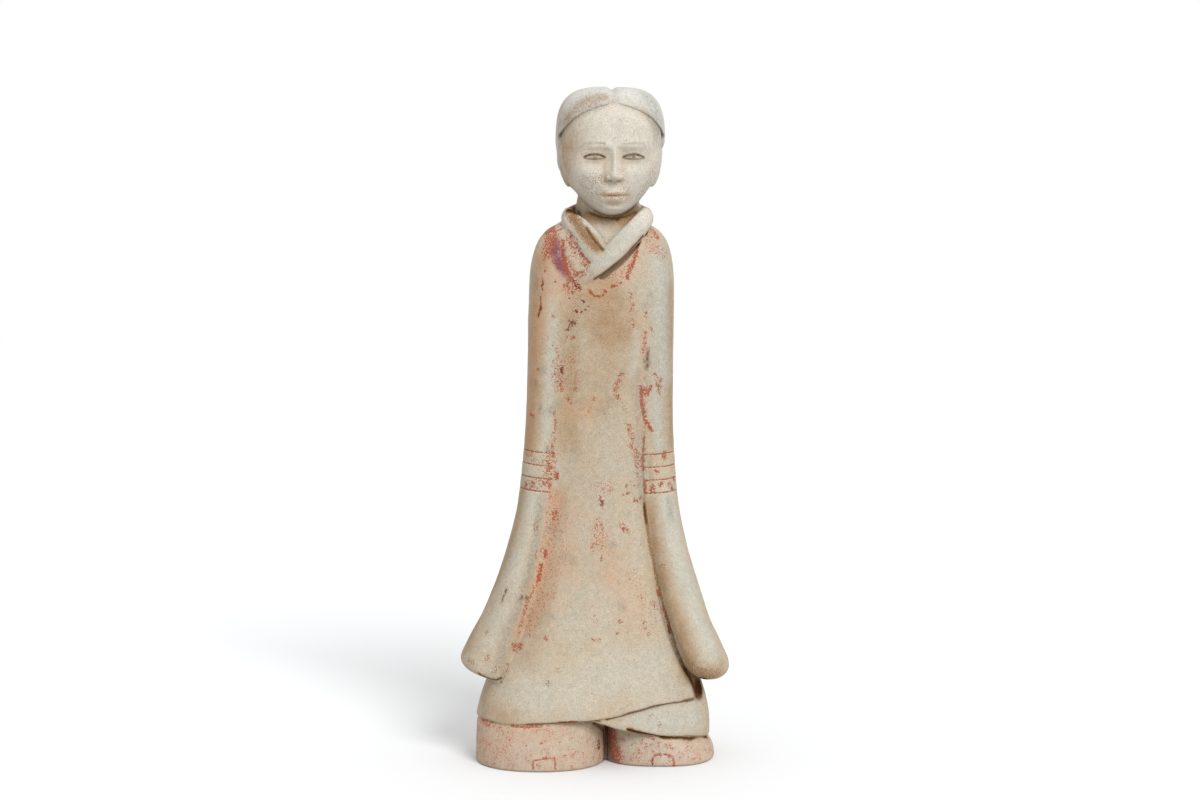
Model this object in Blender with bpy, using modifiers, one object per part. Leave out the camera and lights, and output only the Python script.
"""Standing dancer in a long-sleeved wrapped robe, modelled in clay as one solid on its own foot.

Metres, +Z up. The figure faces -Y and stands on the plane Z = 0, with the origin where the axis of its
body meets the underside. Every proportion is in hundredths of the figure's height.
"""

import math
from dataclasses import dataclass

import bmesh
import bpy
import numpy as np
from mathutils import Vector

# The height from the sole to the crown, and the hundredth of it that every proportion below is counted in.
FIGURE_HEIGHT = 0.540
U = FIGURE_HEIGHT / 100

# The pose: the body's axis leans to +X as it rises, and the skirt is turned to the right at the floor.
LEAN = 0.0165
SKIRT_TURN = math.radians(11)
TURN_STARTS_AT = 28.0
TURN_ENDS_AT = 5.0
BODY_DEPTH_CENTRE = 1.2

# The robe's rows hold height, half width, half depth, and how far its middle stands behind the axis.
ROBE = (
    (81.6, 4.3, 3.6, 0.4),
    (80.2, 6.3, 4.4, 0.3),
    (78.8, 7.8, 5.1, 0.2),
    (77.0, 8.6, 5.6, 0.0),
    (74.0, 8.9, 5.9, -0.1),
    (68.0, 8.6, 6.1, -0.2),
    (60.0, 8.2, 6.0, 0.0),
    (50.0, 8.3, 6.0, 0.3),
    (43.0, 8.6, 6.3, 0.3),
    (36.0, 9.3, 6.9, 0.2),
    (30.0, 10.4, 7.5, 0.1),
    (24.0, 12.2, 8.2, 0.0),
    (18.0, 14.2, 9.0, 0.0),
    (12.0, 16.3, 10.2, 0.0),
    (9.0, 17.3, 10.8, 0.0),
    (6.0, 17.9, 11.1, 0.0),
    (3.0, 18.0, 11.1, 0.0),
)
ROBE_POWER = 2.35

# The two layers of the wrap, which cross in front. Rows hold X and the height of the layer's hem there,
# and run past the figure's sides, as far as every cutter does.
REACH = 24.0
OUTER_HEM = (
    (-REACH, 5.6),
    (-17.0, 6.0),
    (-10.0, 6.6),
    (-4.0, 7.1),
    (0.0, 7.5),
    (4.0, 8.2),
    (10.0, 9.3),
    (REACH, 10.2),
)
INNER_HEM = (
    (-REACH, 8.6),
    (-4.0, 8.2),
    (0.0, 7.3),
    (3.0, 6.1),
    (7.0, 5.2),
    (12.0, 4.2),
    (REACH, 2.6),
)
INNER_STARTS_AT = 16.0
LAYER_THICKNESS = 0.5
BELOW_FLOOR = 1.0

# The front panel's free edge on the left side, and the hollow behind it under the sleeve.
PANEL_EDGE = 15.0
PANEL_EDGE_TOP = 13.0
PANEL_EDGE_BACK = 3.0
POCKET_PLACE = (15.9, -3.2, 11.4)
POCKET_RADII = (0.8, 3.4, 2.2)


@dataclass(frozen=True)
class Leg:
    """A bell-shaped trouser leg: its place, its size, and how its bell is shaped.

    The power says how square its plan is, inward is the side on which it stays upright as the bell
    narrows, and flare is the share of the usual height over which it widens.
    """

    x: float
    y: float
    half_width: float
    half_depth: float
    power: float
    inward: int
    flare: float
    shoe_x: float


# The foot: two trouser legs. The bell's rows hold height and the share of the leg's full size there.
RIGHT_LEG = Leg(-7.9, -0.8, 9.75, 9.5, power=2.15, inward=1, flare=1.0, shoe_x=-7.3)
LEFT_LEG = Leg(9.75, 2.1, 8.4, 8.9, power=2.6, inward=-1, flare=0.55, shoe_x=10.0)
LEG_BELL = (
    (12.0, 0.66),
    (8.0, 0.84),
    (6.0, 0.92),
    (4.4, 0.975),
    (2.6, 1.0),
    (1.0, 1.0),
    (-BELOW_FLOOR, 0.95),
)
SHOE_HALF_WIDTH = 1.55
SHOE_HEIGHT = 2.0
SHOE_PROUD = 0.08
SHOE_LENGTH = 3.0

# A sleeve's rows hold height, its middle's distance from the axis, half width, half depth, and how far
# its middle stands behind the axis.
SLEEVE = (
    (79.0, 5.7, 2.3, 3.0, 0.4),
    (77.6, 6.6, 2.55, 3.6, 0.3),
    (76.0, 7.1, 2.75, 4.0, 0.1),
    (74.0, 7.45, 2.95, 4.3, 0.0),
    (68.0, 7.75, 3.0, 4.5, -0.1),
    (60.0, 7.9, 2.9, 4.5, 0.0),
    (52.0, 8.1, 2.85, 4.5, 0.2),
    (46.0, 8.35, 2.9, 4.6, 0.2),
    (40.0, 8.75, 3.05, 4.9, 0.1),
    (36.0, 9.2, 3.2, 5.3, 0.0),
    (30.6, 10.15, 3.55, 6.0, -0.2),
    (27.0, 11.0, 3.8, 6.4, -0.4),
    (23.4, 12.0, 4.1, 6.8, -0.5),
    (19.8, 13.3, 4.3, 7.0, -0.6),
    (16.2, 14.95, 4.5, 7.1, -0.7),
    (11.7, 17.0, 4.6, 7.0, -0.8),
)
SLEEVE_POWER = 2.2
SLEEVE_SHOULDER_ROUND = 1.6
SLEEVE_END_ROUND = 2.6
SLEEVE_TIP_SHARE = 0.12

# The neck, and the collar whose ends cross on the chest. Its rows follow the band's middle from the tip
# up over the left shoulder, round the nape, and down again to where it passes under itself.
NECK_X = 2.1
NECK_Y = 1.9
NECK_HALF_WIDTH = 4.1
NECK_HALF_DEPTH = 3.5
NECK_FOOT = 75.5
NECK_TOP = 86.0
NECK_FOOT_SHARE = 1.35
COLLAR_TIP_SIDE = ((-1.3, 71.6), (0.6, 73.3), (2.8, 75.3), (5.0, 77.3), (6.6, 78.9))
COLLAR_NAPE = (
    (7.9, -1.9, 80.7),
    (8.0, 1.6, 81.2),
    (5.9, 5.0, 82.0),
    (2.0, 6.2, 82.4),
    (-1.9, 5.0, 82.0),
    (-4.0, 1.6, 81.2),
    (-3.9, -1.9, 80.8),
)
COLLAR_UNDER_SIDE = ((-2.9, 79.1), (-1.5, 77.3), (0.1, 75.4), (1.5, 73.7))
COLLAR_HALF_WIDTH = 1.25
COLLAR_HALF_THICKNESS = 0.58
COLLAR_POWER = 2.8
COLLAR_TIP_SHARE = 0.35
COLLAR_TAPER_RINGS = 3
COLLAR_STANDS_PROUD = 0.25
COLLAR_LAP = 0.35
CHEST_SIDE_SHARE = 0.97

# The head. Its outline is squarer over the crown than at the jaw, which narrows and comes forward.
HEAD_X = 2.45
HEAD_Y = 0.9
HEAD_TURN = math.radians(4)
CROWN = 100.0
CHIN = 80.4
HEAD_HALF_WIDTH = 7.4
HEAD_HALF_DEPTH = 7.9
SKULL_POWER = 3.6
JAW_POWER = 2.3
SKULL_POWER_STARTS_AT = -0.19
SKULL_POWER_FULL_AT = 0.44
PLAN_POWER = 2.3
JAW_STARTS_AT = 89.5
JAW_WIDTH_SHARE = 0.7
JAW_BACK_SHARE = 0.72
JAW_FRONT_SHARE = 0.9
JAW_FORWARD = 1.7

# The hair, drawn back from a middle parting and gathered in a low knot, and the ears.
HAIR_THICKNESS = 0.7
HAIRLINE_PEAK = 97.3
HAIRLINE_SLOPE = 0.27
HAIRLINE_DROP = 0.0006
HAIRLINE_DROP_POWER = 4.1
HAIRLINE_HALF_WIDTH = 9.5
TEMPLE_AT = -1.4
TEMPLE_STEP = 3.8
PARTING_DEPTH = 0.35
PARTING_HALF_WIDTH = 0.45
PARTING_ENDS_AT = 5.0
KNOT_PLACE = (2.45, 8.6, 86.2)
KNOT_RADII = (2.9, 2.3, 3.6)
EAR_OUT = 7.0
EAR_BACK = 1.4
EAR_HEIGHT = 88.3
EAR_TOP = 91.1
EAR_RADII = (0.75, 1.5, 2.8)
EAR_SPLAY = 0.2

# The face, by the usual thirds: brow, nose and chin share the length below the hairline equally.
BROW = 90.9
EYES = 89.7
NOSE_BASE = 85.6
MOUTH = 83.9
CHIN_BALL = 81.4
EYE_SPACING = 2.9
# Rows hold distance from the midline, height, half width, half height, and how far it stands forward.
FACE_FORMS = (
    (EYE_SPACING, BROW + 0.2, 2.4, 0.8, 0.30),
    (EYE_SPACING, EYES - 0.1, 2.1, 1.15, -0.95),
    (EYE_SPACING, EYES - 0.1, 1.45, 0.75, 1.15),
    (4.0, 87.0, 2.5, 2.2, 0.40),
    (1.05, NOSE_BASE + 0.7, 0.62, 0.62, 0.75),
    (0.0, MOUTH - 0.1, 2.4, 1.7, 0.50),
    (0.0, MOUTH + 0.55, 1.55, 0.45, 0.50),
    (0.0, MOUTH - 0.62, 1.2, 0.50, 0.60),
    (0.0, MOUTH, 1.9, 0.22, -0.75),
    (0.0, MOUTH - 1.6, 1.5, 0.5, -0.45),
    (0.0, CHIN_BALL, 1.9, 1.1, 0.55),
)
FACE_STARTS_AT = 0.09
FACE_FULL_AT = 0.55
FACE_UNDER_HAIR = 1.0
NOSE_ROOT = 91.2
NOSE_ROOT_FADE = 0.5
NOSE_TIP = 86.7
NOSE_HEIGHT = 1.55
NOSE_ROOT_SHARE = 0.22
NOSE_ROOT_HALF_WIDTH = 0.58
NOSE_TIP_HALF_WIDTH = 0.94

# How finely the forms are shaped, fused and thinned.
RING_POINTS = 40
RING_STEP = 0.7
PLAIN_RING_STEP = 1.3
COLLAR_RING_POINTS = 12
COLLAR_RINGS = 40
HEM_STEPS = 24
NECK_SEGMENTS = 32
SPHERE_SEGMENTS = 112
SMALL_BALL_SEGMENTS = 20
FUSE_GRAIN = 0.28
FUSE_SMOOTHING = 10
CLOTH_TRIANGLES = 3100
HEAD_TRIANGLES = 2100
HAIR_TRIANGLES = 1250

CLAY_COLOUR = (0.62, 0.53, 0.41, 1.0)
CLAY_ROUGHNESS = 0.92


def clear_scene():
    """Remove whatever the file holds."""
    for item in list(bpy.data.objects):
        bpy.data.objects.remove(item, do_unlink=True)


def new_collection(name):
    """Make a collection under the scene."""
    group = bpy.data.collections.new(name)
    bpy.context.scene.collection.children.link(group)
    return group


def object_from(builder, name, group):
    """Turn a bmesh into a linked object."""
    mesh = bpy.data.meshes.new(name)
    builder.to_mesh(mesh)
    builder.free()
    made = bpy.data.objects.new(name, mesh)
    group.objects.link(made)
    return made


def through(rows, at):
    """Read smooth curves through the rows, whose first column is the key, at each of the given keys."""
    table = np.array(sorted(rows), float)
    keys, values = table[:, 0], table[:, 1:]
    secants = np.diff(values, axis=0) / np.diff(keys)[:, None]
    slopes = np.vstack([secants[:1], (secants[1:] + secants[:-1]) / 2, secants[-1:]])
    at = np.clip(np.atleast_1d(np.asarray(at, float)), keys[0], keys[-1])
    left = np.clip(np.searchsorted(keys, at) - 1, 0, len(keys) - 2)
    span = (keys[left + 1] - keys[left])[:, None]
    t = (at - keys[left])[:, None] / span
    return (
        values[left] * (1 + 2 * t) * (1 - t) ** 2
        + slopes[left] * span * t * (1 - t) ** 2
        + values[left + 1] * t**2 * (3 - 2 * t)
        - slopes[left + 1] * span * t**2 * (1 - t)
    )


def eased(value, start=0.0, end=1.0):
    """Go smoothly from 0 to 1 as the value goes from start to end."""
    t = min(max((value - start) / (end - start), 0.0), 1.0)
    return t * t * (3 - 2 * t)


def lean_at(height):
    """How far the body's axis has moved along X at this height."""
    return LEAN * height


def turn_at(height):
    """How far the skirt is turned at this height, in radians."""
    return SKIRT_TURN * eased(height, TURN_STARTS_AT, TURN_ENDS_AT)


def turned(x, y, height):
    """Turn a point about the body's axis by the skirt's turn, and set it over the foot."""
    angle = turn_at(height)
    return (
        x * math.cos(angle) - y * math.sin(angle) + lean_at(height),
        x * math.sin(angle) + y * math.cos(angle) + BODY_DEPTH_CENTRE,
    )


def ring_shape(half_width, half_depth, power, count=RING_POINTS):
    """Points of a superellipse, counter-clockwise from +X."""
    shape = []
    for step in range(count):
        angle = 2 * math.pi * step / count
        c, s = math.cos(angle), math.sin(angle)
        across = half_width * math.copysign(abs(c) ** (2 / power), c)
        deep = half_depth * math.copysign(abs(s) ** (2 / power), s)
        shape.append((across, deep))
    return shape


def loft(rings):
    """Skin a list of rings of equal count, from the top one down, and close both ends."""
    builder = bmesh.new()
    rows = [[builder.verts.new(Vector(point) * U) for point in ring] for ring in rings]
    for upper, lower in zip(rows, rows[1:]):
        for here in range(len(upper)):
            after = (here + 1) % len(upper)
            builder.faces.new((upper[here], lower[here], lower[after], upper[after]))
    builder.faces.new(rows[0])
    builder.faces.new(reversed(rows[-1]))
    bmesh.ops.recalc_face_normals(builder, faces=builder.faces)
    return builder


def heights_between(top, bottom, step):
    """Evenly spaced heights from top to bottom, about a step apart."""
    count = max(3, round((top - bottom) / step) + 1)
    return np.linspace(top, bottom, count)


def skirt_layer(name, top, bottom, inset, group):
    """One layer of the robe between two heights, before its hem is cut."""
    rings = []
    for height in heights_between(top, bottom, PLAIN_RING_STEP):
        half_width, half_depth, behind = through(ROBE, height)[0]
        shape = ring_shape(half_width - inset, half_depth - inset, ROBE_POWER)
        rings.append([(*turned(x, y + behind, height), height) for x, y in shape])
    return object_from(loft(rings), name, group)


def leg(name, shape, group):
    """One bell-shaped trouser leg, carried below the floor, where the foot is cut off flat."""
    rings = []
    for height in heights_between(LEG_BELL[0][0], LEG_BELL[-1][0], PLAIN_RING_STEP):
        share = float(through(LEG_BELL, height / shape.flare)[0][0])
        middle = shape.x + shape.inward * (1 - share) * shape.half_width
        ring = ring_shape(shape.half_width * share, shape.half_depth * share, shape.power)
        rings.append([(middle + across, shape.y + deep, height) for across, deep in ring])
    return object_from(loft(rings), name, group)


def shoe_tip(name, shape, group):
    """The square toe of a shoe that shows at the foot of a leg."""
    front = shape.y - shape.half_depth - SHOE_PROUD
    builder = bmesh.new()
    bmesh.ops.create_cube(builder, size=1.0)
    for corner in builder.verts:
        across = shape.shoe_x + corner.co.x * 2 * SHOE_HALF_WIDTH
        deep = front + SHOE_LENGTH * (corner.co.y + 0.5)
        height = SHOE_HEIGHT if corner.co.z > 0 else -BELOW_FLOOR
        corner.co = Vector((across, deep, height)) * U
    return object_from(builder, name, group)


def dome(height, top, bottom):
    """The share that rounds off a sleeve towards its shoulder and towards its end."""
    share = 1.0
    for edge, length in ((top, SLEEVE_SHOULDER_ROUND), (bottom, SLEEVE_END_ROUND)):
        inside = min(abs(height - edge) / length, 1.0)
        share = min(share, math.sqrt(1 - (1 - inside) ** 2))
    return max(share, SLEEVE_TIP_SHARE)


def sleeve(name, side, group):
    """A sleeve from the shoulder to its rounded end, with its rings square to the way it hangs."""
    top, bottom = SLEEVE[0][0], SLEEVE[-1][0]
    heights = heights_between(top, bottom, RING_STEP)
    rings = []
    for height, (out, half_width, half_depth, behind) in zip(heights, through(SLEEVE, heights)):
        above, below = through(SLEEVE, [height + 1, height - 1])[:, 0]
        run = Vector((side * (below - above), 0.0, -2.0)).normalized()
        across = Vector((-run.z, 0.0, run.x))
        share = dome(height, top, bottom)
        centre = Vector((side * out + lean_at(height), behind + BODY_DEPTH_CENTRE, height))
        ring = ring_shape(half_width * share, half_depth * share, SLEEVE_POWER)
        rings.append([centre + across * x + Vector((0.0, y, 0.0)) for x, y in ring])
    return object_from(loft(rings), name, group)


def ball(segments):
    """A ball of radius 1 to shape."""
    builder = bmesh.new()
    bmesh.ops.create_uvsphere(builder, u_segments=segments, v_segments=segments * 3 // 4, radius=1.0)
    return builder


def ellipsoid(name, place, radii, group):
    """A ball stretched to three radii."""
    builder = ball(SMALL_BALL_SEGMENTS)
    for point in builder.verts:
        point.co = Vector([(p + c * r) * U for p, c, r in zip(place, point.co, radii)])
    return object_from(builder, name, group)


def neck(group):
    """The neck, which rises out of the collar into the head."""
    length = NECK_TOP - NECK_FOOT
    builder = bmesh.new()
    bmesh.ops.create_cone(
        builder,
        cap_ends=True,
        segments=NECK_SEGMENTS,
        radius1=NECK_FOOT_SHARE,
        radius2=1.0,
        depth=length,
    )
    for point in builder.verts:
        across = NECK_X + point.co.x * NECK_HALF_WIDTH
        deep = NECK_Y + point.co.y * NECK_HALF_DEPTH
        height = NECK_FOOT + length / 2 + point.co.z
        point.co = Vector((across, deep, height)) * U
    return object_from(builder, "neck", group)


def chest_depth(x, height):
    """The depth of the robe's front at this place on the chest."""
    half_width, half_depth, behind = through(ROBE, height)[0]
    share = min(abs(x - lean_at(height)) / half_width, CHEST_SIDE_SHARE)
    front = half_depth * (1 - share**ROBE_POWER) ** (1 / ROBE_POWER)
    return BODY_DEPTH_CENTRE + behind - front


def collar_route():
    """Points along the collar's middle, from its tip on the chest to where it passes under itself."""
    lap = COLLAR_STANDS_PROUD + COLLAR_LAP
    over = [(x, chest_depth(x, z) - lap, z) for x, z in COLLAR_TIP_SIDE]
    under = [(x, chest_depth(x, z) - COLLAR_STANDS_PROUD, z) for x, z in COLLAR_UNDER_SIDE]
    rows = [(key, *point) for key, point in enumerate([*over, *COLLAR_NAPE, *under])]
    return [Vector(point) for point in through(rows, np.linspace(0, len(rows) - 1, COLLAR_RINGS))]


def collar(group):
    """A flat band along the collar's route, standing up round the neck and lying on the chest."""
    route = collar_route()
    last = len(route) - 1
    rings = []
    for here, point in enumerate(route):
        run = (route[min(here + 1, last)] - route[max(here - 1, 0)]).normalized()
        outward = Vector((point.x - NECK_X, point.y - NECK_Y, 0.0)).normalized()
        outward = (outward - run * outward.dot(run)).normalized()
        across = run.cross(outward)
        end = min(1.0, min(here, last - here) / COLLAR_TAPER_RINGS)
        taper = max(math.sqrt(end * (2 - end)), COLLAR_TIP_SHARE)
        half_width = COLLAR_HALF_WIDTH * taper
        ring = ring_shape(half_width, COLLAR_HALF_THICKNESS, COLLAR_POWER, COLLAR_RING_POINTS)
        rings.append([point + across * x + outward * y for x, y in ring])
    return object_from(loft(rings), "collar", group)


def hairline_at(x):
    """The height of the hair's lower edge over the forehead, at this distance from the parting."""
    return HAIRLINE_PEAK - HAIRLINE_SLOPE * abs(x) - HAIRLINE_DROP * abs(x) ** HAIRLINE_DROP_POWER


def nose(x, height):
    """How far the nose stands forward at this place: a ridge that rises and widens to its tip."""
    along = min(max((NOSE_ROOT - height) / (NOSE_ROOT - NOSE_TIP), 0.0), 1.0)
    bridge = NOSE_ROOT_SHARE + (1 - NOSE_ROOT_SHARE) * eased(along)
    upper_end = eased(height, NOSE_ROOT + NOSE_ROOT_FADE, NOSE_ROOT - NOSE_ROOT_FADE)
    lower_end = eased(height, NOSE_BASE, NOSE_TIP)
    half_width = NOSE_ROOT_HALF_WIDTH + (NOSE_TIP_HALF_WIDTH - NOSE_ROOT_HALF_WIDTH) * along
    return NOSE_HEIGHT * bridge * upper_end * lower_end * math.exp(-((x / half_width) ** 2))


def face_relief(x, height):
    """How far the face stands forward of the plain head at this place."""
    stands = nose(x, height)
    for across, up, half_width, half_height, forward in FACE_FORMS:
        away = ((abs(x) - across) / half_width) ** 2 + ((height - up) / half_height) ** 2
        stands += forward * math.exp(-away)
    return stands


def skull_point(direction, grown):
    """The point of the plain head, grown outward by some thickness, in this direction from its middle."""
    x, y, z = direction
    squarer = eased(z, SKULL_POWER_STARTS_AT, SKULL_POWER_FULL_AT)
    power = JAW_POWER + (SKULL_POWER - JAW_POWER) * squarer
    level = (abs(x) ** PLAN_POWER + abs(y) ** PLAN_POWER) ** (1 / PLAN_POWER)
    length = (level**power + abs(z) ** power) ** (1 / power)
    half_height = (CROWN - CHIN) / 2
    height = CHIN + half_height + z / length * (half_height - HAIR_THICKNESS + grown)
    jaw = eased(height, JAW_STARTS_AT, CHIN)
    narrow = 1 - (1 - JAW_WIDTH_SHARE) * jaw
    shallow = 1 - (1 - (JAW_BACK_SHARE if y > 0 else JAW_FRONT_SHARE)) * jaw
    across = x / length * (HEAD_HALF_WIDTH + grown) * narrow
    deep = y / length * (HEAD_HALF_DEPTH + grown) * shallow - JAW_FORWARD * jaw
    return across, deep, height


def set_on_neck(x, y, height):
    """Turn a point of the head and set it over the neck."""
    c, s = math.cos(HEAD_TURN), math.sin(HEAD_TURN)
    return Vector((HEAD_X + x * c - y * s, HEAD_Y + x * s + y * c, height)) * U


def head(group):
    """The head with its narrowing jaw and the relief of the face."""
    builder = ball(SPHERE_SEGMENTS)
    for point in builder.verts:
        x, y, height = skull_point(point.co, 0.0)
        in_front = eased(-y / HEAD_HALF_DEPTH, FACE_STARTS_AT, FACE_FULL_AT)
        bare = height < hairline_at(x) + FACE_UNDER_HAIR
        point.co = set_on_neck(x, y - face_relief(x, height) * in_front * bare, height)
    return thinned(object_from(builder, "head", group), HEAD_TRIANGLES, group)


def hair(group, cutters):
    """The smooth hair: a cap over the whole head with the face's opening cut out of it."""
    builder = ball(SPHERE_SEGMENTS)
    for point in builder.verts:
        outward = point.co.normalized()
        x, y, height = skull_point(point.co, HAIR_THICKNESS)
        parting = PARTING_DEPTH * math.exp(-((x / PARTING_HALF_WIDTH) ** 2)) * (y < PARTING_ENDS_AT)
        point.co = set_on_neck(x, y - outward.y * parting, height - outward.z * parting)
    cap = thinned(object_from(builder, "hair", group), HAIR_TRIANGLES, group)
    over = np.linspace(-HAIRLINE_HALF_WIDTH, HAIRLINE_HALF_WIDTH, HEM_STEPS)
    forehead = [(x, hairline_at(x)) for x in over]
    cut(cap, prism("face_opening", forehead, (-REACH, TEMPLE_AT), set_on_neck, cutters))
    beside = [(-REACH, EAR_TOP), (REACH, EAR_TOP)]
    cut(cap, prism("ear_opening", beside, (-REACH, TEMPLE_AT + TEMPLE_STEP), set_on_neck, cutters))
    return baked(cap, "hair", group)


def ear(name, side, group):
    """An ear, close against the head and a little wider at the top."""
    made = ellipsoid(name, (HEAD_X + side * EAR_OUT, HEAD_Y + EAR_BACK, EAR_HEIGHT), EAR_RADII, group)
    for point in made.data.vertices:
        point.co.x += side * EAR_SPLAY * (point.co.z - EAR_HEIGHT * U)
    return made


def baked(source, name, group):
    """A plain mesh object from an object with its modifiers applied, which takes its place."""
    bpy.context.view_layer.update()
    graph = bpy.context.evaluated_depsgraph_get()
    mesh = bpy.data.meshes.new_from_object(source.evaluated_get(graph))
    mesh.transform(source.matrix_world)
    bpy.data.objects.remove(source, do_unlink=True)
    mesh.name = name
    made = bpy.data.objects.new(name, mesh)
    group.objects.link(made)
    return made


def joined(pieces, name):
    """Join several objects into one, still as overlapping shells."""
    bpy.ops.object.select_all(action="DESELECT")
    for piece in pieces:
        piece.select_set(True)
    bpy.context.view_layer.objects.active = pieces[0]
    bpy.ops.object.join()
    pieces[0].name = name
    return pieces[0]


def fused(pieces, name, group):
    """Work overlapping forms into one skin, as wet clay is, and smooth the joins."""
    whole = joined(pieces, name)
    remesh = whole.modifiers.new("one_skin", "REMESH")
    remesh.mode = "VOXEL"
    remesh.voxel_size = FUSE_GRAIN * U
    smooth = whole.modifiers.new("smoothed_joins", "SMOOTH")
    smooth.factor = 0.5
    smooth.iterations = FUSE_SMOOTHING
    return baked(whole, name, group)


def thinned(target, keep, group):
    """Thin a form to this many triangles."""
    thin = target.modifiers.new("thinned", "DECIMATE")
    thin.ratio = keep / sum(len(face.vertices) - 2 for face in target.data.polygons)
    return baked(target, target.name, group)


def as_cutter(made):
    """Mark a form as one that only cuts others."""
    made.hide_render = True
    made.display_type = "WIRE"
    return made


def in_place(x, y, height):
    """A point as it is, in metres."""
    return Vector((x, y, height)) * U


def prism(name, top_edge, depths, placed, group):
    """A cutter under an edge drawn in X and height, carried through a range of depths."""
    front, back = depths
    outline = [*top_edge, (top_edge[-1][0], -REACH), (top_edge[0][0], -REACH)]
    builder = bmesh.new()
    near = builder.faces.new([builder.verts.new((x, front, z)) for x, z in outline])
    grown = bmesh.ops.extrude_face_region(builder, geom=[near])["geom"]
    far = [item for item in grown if isinstance(item, bmesh.types.BMVert)]
    bmesh.ops.translate(builder, verts=far, vec=(0.0, back - front, 0.0))
    for point in builder.verts:
        point.co = placed(*point.co)
    bmesh.ops.recalc_face_normals(builder, faces=builder.faces)
    return as_cutter(object_from(builder, name, group))


def under_hem(name, hem, group):
    """The space under a layer's hem."""
    keys = np.linspace(hem[0][0], hem[-1][0], HEM_STEPS)
    edge = list(zip(keys, through(hem, keys)[:, 0]))
    return prism(name, edge, (-REACH, REACH), in_place, group)


def beside_panel(group):
    """The space beside the front panel's free edge, where only the layer under it is left."""
    edge = [(PANEL_EDGE, PANEL_EDGE_TOP), (REACH, PANEL_EDGE_TOP)]
    return prism("beside_panel", edge, (-REACH, PANEL_EDGE_BACK), in_place, group)


def floor_cutter(group):
    """A block under the floor plane, which leaves the underside flat."""
    return prism("floor_cutter", [(-REACH, 0.0), (REACH, 0.0)], (-REACH, REACH), in_place, group)


def combined(target, other, operation):
    """Apply a Boolean operation to the target once the whole is evaluated."""
    boolean = target.modifiers.new(other.name, "BOOLEAN")
    boolean.operation = operation
    boolean.solver = "EXACT"
    boolean.object = other


def cut(target, cutter):
    """Take the cutter's volume out of the target."""
    combined(target, cutter, "DIFFERENCE")


def united(pieces, name, group):
    """Unite closed forms into one solid."""
    for piece in pieces[1:]:
        combined(pieces[0], piece, "UNION")
    whole = baked(pieces[0], name, group)
    for piece in pieces[1:]:
        bpy.data.objects.remove(piece, do_unlink=True)
    return whole


def robe(group, cutters):
    """The outer wrap with both sleeves worked into it, thinned, and cut along its hem."""
    wrap = skirt_layer("outer_wrap", ROBE[0][0], ROBE[-1][0], 0.0, group)
    cut(wrap, beside_panel(cutters))
    cloth = [
        baked(wrap, "outer_wrap", group),
        sleeve("right_sleeve", -1, group),
        sleeve("left_sleeve", 1, group),
    ]
    whole = thinned(fused(cloth, "robe", group), CLOTH_TRIANGLES, group)
    cut(whole, under_hem("under_outer_hem", OUTER_HEM, cutters))
    return baked(whole, "robe", group)


def inner_wrap(group, cutters):
    """The layer under the outer wrap, which shows below it on the left side."""
    layer = skirt_layer("inner_wrap", INNER_STARTS_AT, -BELOW_FLOOR, LAYER_THICKNESS, group)
    cut(layer, under_hem("under_inner_hem", INNER_HEM, cutters))
    return baked(layer, "inner_wrap", group)


def terracotta():
    """Fired grey-buff clay, matt."""
    clay = bpy.data.materials.new("terracotta")
    clay.use_nodes = True
    shader = clay.node_tree.nodes["Principled BSDF"]
    shader.inputs["Base Color"].default_value = CLAY_COLOUR
    shader.inputs["Roughness"].default_value = CLAY_ROUGHNESS
    shader.inputs["Metallic"].default_value = 0.0
    return clay


def build():
    """Model every form, unite them into one solid and stand it on the floor plane."""
    clear_scene()
    group = new_collection("terracotta_dancer")
    cutters = new_collection("cutters")
    forms = [
        robe(group, cutters),
        inner_wrap(group, cutters),
        leg("right_leg", RIGHT_LEG, group),
        leg("left_leg", LEFT_LEG, group),
        shoe_tip("right_shoe", RIGHT_LEG, group),
        shoe_tip("left_shoe", LEFT_LEG, group),
        neck(group),
        collar(group),
        head(group),
        hair(group, cutters),
        ellipsoid("hair_knot", KNOT_PLACE, KNOT_RADII, group),
        ear("right_ear", -1, group),
        ear("left_ear", 1, group),
    ]
    figure = united(forms, "dancer_figure", group)
    cut(figure, as_cutter(ellipsoid("side_pocket", POCKET_PLACE, POCKET_RADII, cutters)))
    cut(figure, floor_cutter(cutters))
    figure.data.materials.clear()
    figure.data.materials.append(terracotta())
    figure.data.shade_smooth()
    return figure


build()
